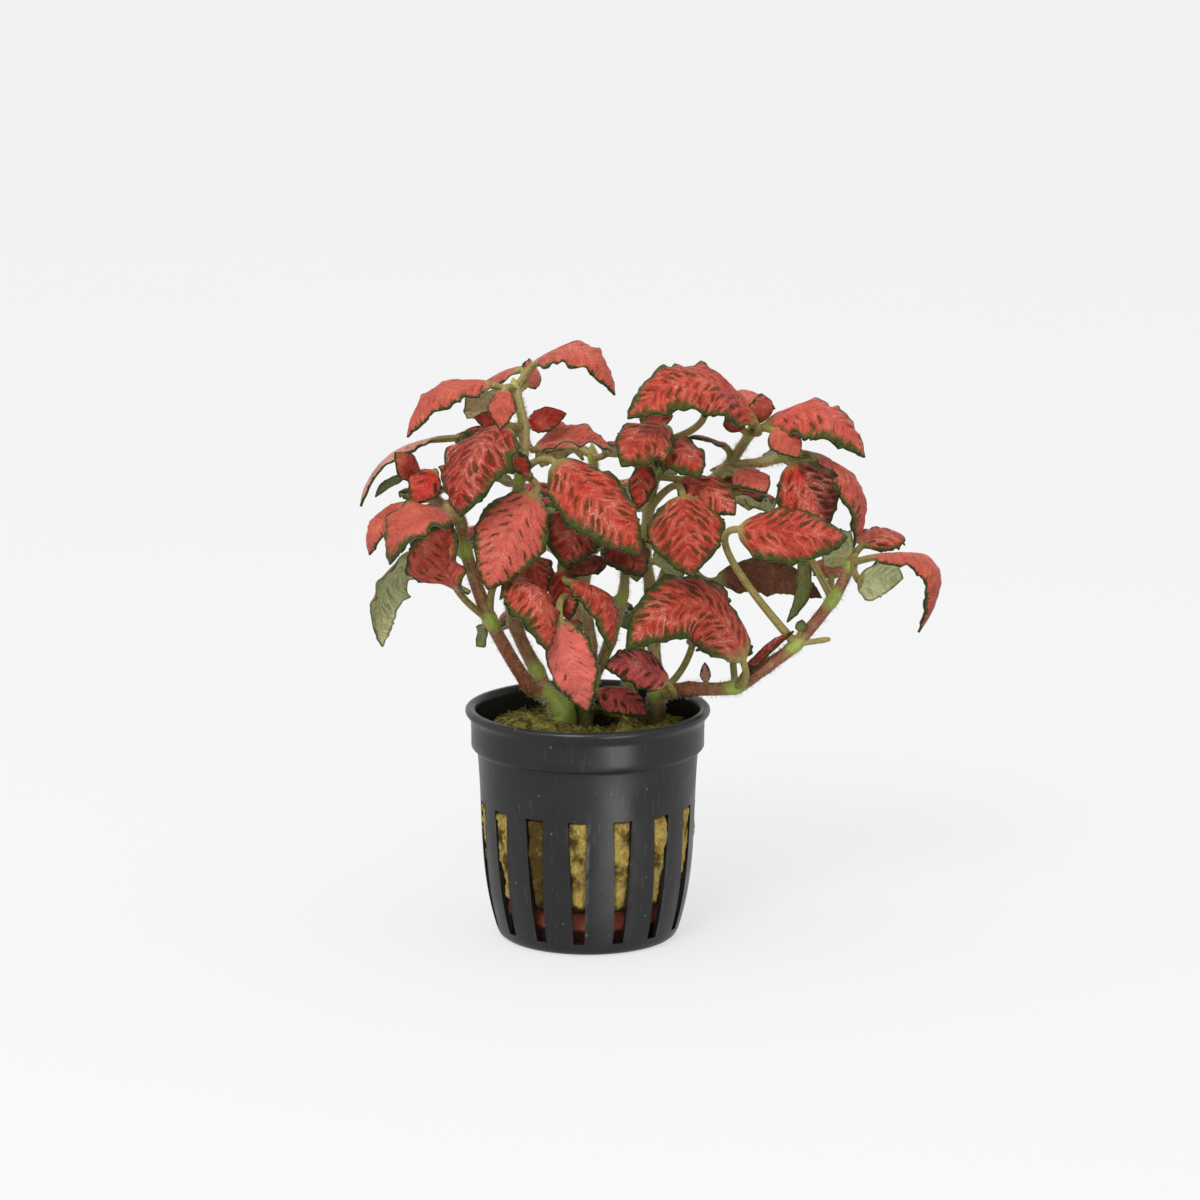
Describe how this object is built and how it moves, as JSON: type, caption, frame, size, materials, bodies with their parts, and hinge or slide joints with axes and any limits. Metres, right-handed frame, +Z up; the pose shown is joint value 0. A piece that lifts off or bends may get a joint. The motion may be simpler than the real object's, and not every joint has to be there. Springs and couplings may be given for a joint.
{
  "type": "potted nerve plant",
  "caption": "Red-leaved nerve plant with dark green leaf edges, rooted in a plug of mineral wool over a clay weight ring, in a small black net pot with a rolled rim and slotted wall.",
  "frame": {"origin": "centre of the pot's flat underside", "axes": "+Z up along the pot's axis, -Y towards the side that the plant is seen from, +X to the right as seen from there"},
  "size_m": [0.1176, 0.0711, 0.1238],
  "materials": {
    "pot": "dark charcoal moulded plastic with a soft sheen",
    "clay": "rough unglazed red-brown clay",
    "wool": "matted mineral fibre, olive with algae on top",
    "leaf": "satin leaf, coral red with dark olive marks and a dark green edge"
  },
  "bodies": {
    "root": {"net_pot": "pot", "clay_ring": "clay", "wool_plug": "wool", "left_cutting": "leaf", "centre_cutting": "leaf", "right_cutting": "leaf", "back_right_cutting": "leaf", "back_left_cutting": "leaf"}
  },
  "joints": []
}
